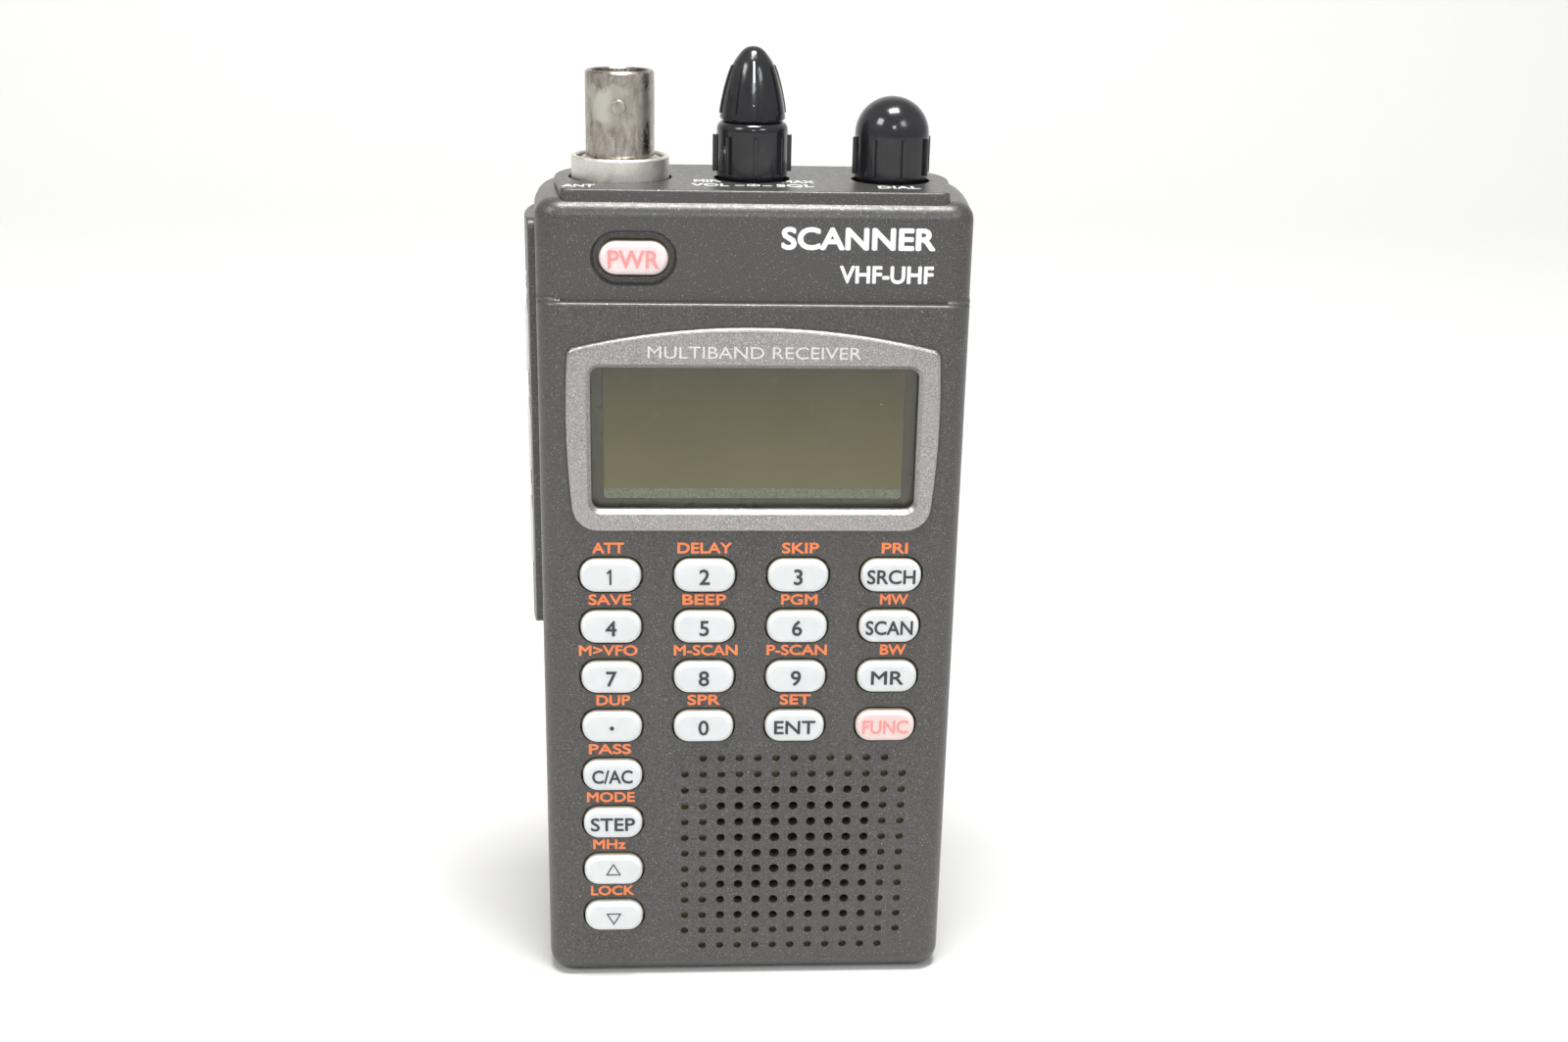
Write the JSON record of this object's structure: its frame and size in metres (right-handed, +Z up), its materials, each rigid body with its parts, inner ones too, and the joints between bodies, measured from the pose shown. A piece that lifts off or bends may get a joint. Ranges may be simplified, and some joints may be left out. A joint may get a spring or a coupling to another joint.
{
  "type": "handheld wideband scanner",
  "caption": "Pocket radio scanner: display in an arched bezel, rubber keypad, speaker grille, antenna socket, concentric knobs, dial, side keys.",
  "frame": {"origin": "centre of the case's footprint, on the surface that it stands on", "axes": "+Z up towards the antenna socket, -Y out of the keypad face towards the user, +X to the user's right"},
  "size_m": [0.0634, 0.0318, 0.1387],
  "materials": {
    "case_plastic": "dark charcoal paint with a fine metallic fleck, satin",
    "bezel_silver": "satin silver paint with a fine sparkle",
    "window_clear": "clear acrylic, gloss",
    "lcd_glass": "olive brown liquid crystal cell, gloss",
    "light_guide": "pale green light guide",
    "key_rubber": "translucent milky silicone",
    "key_translucent": "milky translucent silicone, satin",
    "key_red_marked": "milky silicone with a pink cast, satin",
    "switch_plastic": "black moulded plastic",
    "circuit_board": "green solder mask",
    "tin_plate": "bright tin plate",
    "screw_steel": "zinc plated steel",
    "screw_black": "black oxide steel",
    "pressed_steel": "black painted steel",
    "magnet": "zinc plated steel pot",
    "paper_cone": "treated paper",
    "worn_nickel": "worn nickel plate",
    "collar_metal": "matte cast metal, pale",
    "dielectric": "white fluoropolymer",
    "gold_contact": "gold plate",
    "control_metal": "zinc plated housing",
    "nut_nickel": "nickel plate",
    "knob_black": "gloss black",
    "shaft_brass": "brass",
    "jack_plastic": "black moulded plastic",
    "cell_sleeve": "printed shrink sleeve",
    "contact_nickel": "nickel plated spring steel"
  },
  "bodies": {
    "case": {"front_case": "case_plastic", "rear_case": "case_plastic", "top_panel": "case_plastic", "side_panel": "case_plastic", "lcd_bezel": "bezel_silver", "lcd_window": "window_clear", "lcd_glass": "lcd_glass", "lcd_backlight": "light_guide", "keypad_mat": "key_rubber", "side_switches": "switch_plastic", "control_board": "circuit_board", "main_board": "circuit_board", "shield_can": "tin_plate", "board_screws": "screw_steel", "case_screws": "screw_black", "speaker_frame": "pressed_steel", "speaker_magnet": "magnet", "speaker_cone": "paper_cone", "bnc_body": "worn_nickel", "bnc_collar": "collar_metal", "bnc_insulator": "dielectric", "bnc_contact": "gold_contact", "volume_pot": "control_metal", "dial_encoder": "control_metal", "shaft_nuts": "nut_nickel", "ear_jack": "jack_plastic", "dc_jack": "jack_plastic", "battery_cells": "cell_sleeve", "battery_contacts": "contact_nickel"},
    "squelch_control": {"squelch_knob": "knob_black", "squelch_shaft": "shaft_brass"},
    "volume_control": {"volume_knob": "knob_black", "volume_shaft": "shaft_brass"},
    "dial_control": {"dial_knob": "knob_black", "dial_shaft": "shaft_brass"},
    "battery_door": {"battery_cover": "case_plastic"},
    "key_1_body": {"key_1": "key_translucent"},
    "key_2_body": {"key_2": "key_translucent"},
    "key_3_body": {"key_3": "key_translucent"},
    "key_search_body": {"key_search": "key_translucent"},
    "key_4_body": {"key_4": "key_translucent"},
    "key_5_body": {"key_5": "key_translucent"},
    "key_6_body": {"key_6": "key_translucent"},
    "key_scan_body": {"key_scan": "key_translucent"},
    "key_7_body": {"key_7": "key_translucent"},
    "key_8_body": {"key_8": "key_translucent"},
    "key_9_body": {"key_9": "key_translucent"},
    "key_recall_body": {"key_recall": "key_translucent"},
    "key_point_body": {"key_point": "key_translucent"},
    "key_0_body": {"key_0": "key_translucent"},
    "key_enter_body": {"key_enter": "key_translucent"},
    "key_function_body": {"key_function": "key_red_marked"},
    "key_clear_body": {"key_clear": "key_translucent"},
    "key_step_body": {"key_step": "key_translucent"},
    "key_up_body": {"key_up": "key_translucent"},
    "key_down_body": {"key_down": "key_translucent"},
    "power_key_body": {"power_key": "key_red_marked"},
    "side_key_top_body": {"side_key_top": "key_translucent"},
    "side_key_middle_body": {"side_key_middle": "key_translucent"},
    "side_key_bottom_body": {"side_key_bottom": "key_translucent"}
  },
  "joints": [
    {"name": "volume_turn", "type": "hinge", "parent": "case", "child": "volume_control", "pos_m": [-0.00015, 0.0004, 0.134], "axis": [0, 0, 1], "range_deg": [-280, 0]},
    {"name": "squelch_turn", "type": "hinge", "parent": "case", "child": "squelch_control", "pos_m": [-0.00015, 0.0004, 0.1245], "axis": [0, 0, 1], "range_deg": [-280, 0]},
    {"name": "dial_turn", "type": "hinge", "parent": "case", "child": "dial_control", "pos_m": [0.01965, 0.0004, 0.126], "axis": [0, 0, 1], "continuous": true},
    {"name": "battery_door_swing", "type": "hinge", "parent": "case", "child": "battery_door", "pos_m": [0, 0.01525, 0.005], "axis": [-1, 0, 0], "range_deg": [0, 100]},
    {"name": "key_1_press", "type": "slide", "parent": "case", "child": "key_1_body", "axis": [0, 1, 0], "range_m": [0, 0.001], "stiffness_N_per_m": 150, "springref_m": -0.0005},
    {"name": "key_2_press", "type": "slide", "parent": "case", "child": "key_2_body", "axis": [0, 1, 0], "range_m": [0, 0.001], "stiffness_N_per_m": 150, "springref_m": -0.0005},
    {"name": "key_3_press", "type": "slide", "parent": "case", "child": "key_3_body", "axis": [0, 1, 0], "range_m": [0, 0.001], "stiffness_N_per_m": 150, "springref_m": -0.0005},
    {"name": "key_search_press", "type": "slide", "parent": "case", "child": "key_search_body", "axis": [0, 1, 0], "range_m": [0, 0.001], "stiffness_N_per_m": 150, "springref_m": -0.0005},
    {"name": "key_4_press", "type": "slide", "parent": "case", "child": "key_4_body", "axis": [0, 1, 0], "range_m": [0, 0.001], "stiffness_N_per_m": 150, "springref_m": -0.0005},
    {"name": "key_5_press", "type": "slide", "parent": "case", "child": "key_5_body", "axis": [0, 1, 0], "range_m": [0, 0.001], "stiffness_N_per_m": 150, "springref_m": -0.0005},
    {"name": "key_6_press", "type": "slide", "parent": "case", "child": "key_6_body", "axis": [0, 1, 0], "range_m": [0, 0.001], "stiffness_N_per_m": 150, "springref_m": -0.0005},
    {"name": "key_scan_press", "type": "slide", "parent": "case", "child": "key_scan_body", "axis": [0, 1, 0], "range_m": [0, 0.001], "stiffness_N_per_m": 150, "springref_m": -0.0005},
    {"name": "key_7_press", "type": "slide", "parent": "case", "child": "key_7_body", "axis": [0, 1, 0], "range_m": [0, 0.001], "stiffness_N_per_m": 150, "springref_m": -0.0005},
    {"name": "key_8_press", "type": "slide", "parent": "case", "child": "key_8_body", "axis": [0, 1, 0], "range_m": [0, 0.001], "stiffness_N_per_m": 150, "springref_m": -0.0005},
    {"name": "key_9_press", "type": "slide", "parent": "case", "child": "key_9_body", "axis": [0, 1, 0], "range_m": [0, 0.001], "stiffness_N_per_m": 150, "springref_m": -0.0005},
    {"name": "key_recall_press", "type": "slide", "parent": "case", "child": "key_recall_body", "axis": [0, 1, 0], "range_m": [0, 0.001], "stiffness_N_per_m": 150, "springref_m": -0.0005},
    {"name": "key_point_press", "type": "slide", "parent": "case", "child": "key_point_body", "axis": [0, 1, 0], "range_m": [0, 0.001], "stiffness_N_per_m": 150, "springref_m": -0.0005},
    {"name": "key_0_press", "type": "slide", "parent": "case", "child": "key_0_body", "axis": [0, 1, 0], "range_m": [0, 0.001], "stiffness_N_per_m": 150, "springref_m": -0.0005},
    {"name": "key_enter_press", "type": "slide", "parent": "case", "child": "key_enter_body", "axis": [0, 1, 0], "range_m": [0, 0.001], "stiffness_N_per_m": 150, "springref_m": -0.0005},
    {"name": "key_function_press", "type": "slide", "parent": "case", "child": "key_function_body", "axis": [0, 1, 0], "range_m": [0, 0.001], "stiffness_N_per_m": 150, "springref_m": -0.0005},
    {"name": "key_clear_press", "type": "slide", "parent": "case", "child": "key_clear_body", "axis": [0, 1, 0], "range_m": [0, 0.001], "stiffness_N_per_m": 150, "springref_m": -0.0005},
    {"name": "key_step_press", "type": "slide", "parent": "case", "child": "key_step_body", "axis": [0, 1, 0], "range_m": [0, 0.001], "stiffness_N_per_m": 150, "springref_m": -0.0005},
    {"name": "key_up_press", "type": "slide", "parent": "case", "child": "key_up_body", "axis": [0, 1, 0], "range_m": [0, 0.001], "stiffness_N_per_m": 150, "springref_m": -0.0005},
    {"name": "key_down_press", "type": "slide", "parent": "case", "child": "key_down_body", "axis": [0, 1, 0], "range_m": [0, 0.001], "stiffness_N_per_m": 150, "springref_m": -0.0005},
    {"name": "power_key_press", "type": "slide", "parent": "case", "child": "power_key_body", "axis": [0, 1, 0], "range_m": [0, 0.0006], "stiffness_N_per_m": 250, "springref_m": -0.0005},
    {"name": "side_key_top_press", "type": "slide", "parent": "case", "child": "side_key_top_body", "axis": [1, 0, 0], "range_m": [0, 0.0008], "stiffness_N_per_m": 300, "springref_m": -0.0005},
    {"name": "side_key_middle_press", "type": "slide", "parent": "case", "child": "side_key_middle_body", "axis": [1, 0, 0], "range_m": [0, 0.0008], "stiffness_N_per_m": 300, "springref_m": -0.0005},
    {"name": "side_key_bottom_press", "type": "slide", "parent": "case", "child": "side_key_bottom_body", "axis": [1, 0, 0], "range_m": [0, 0.0008], "stiffness_N_per_m": 300, "springref_m": -0.0005}
  ]
}
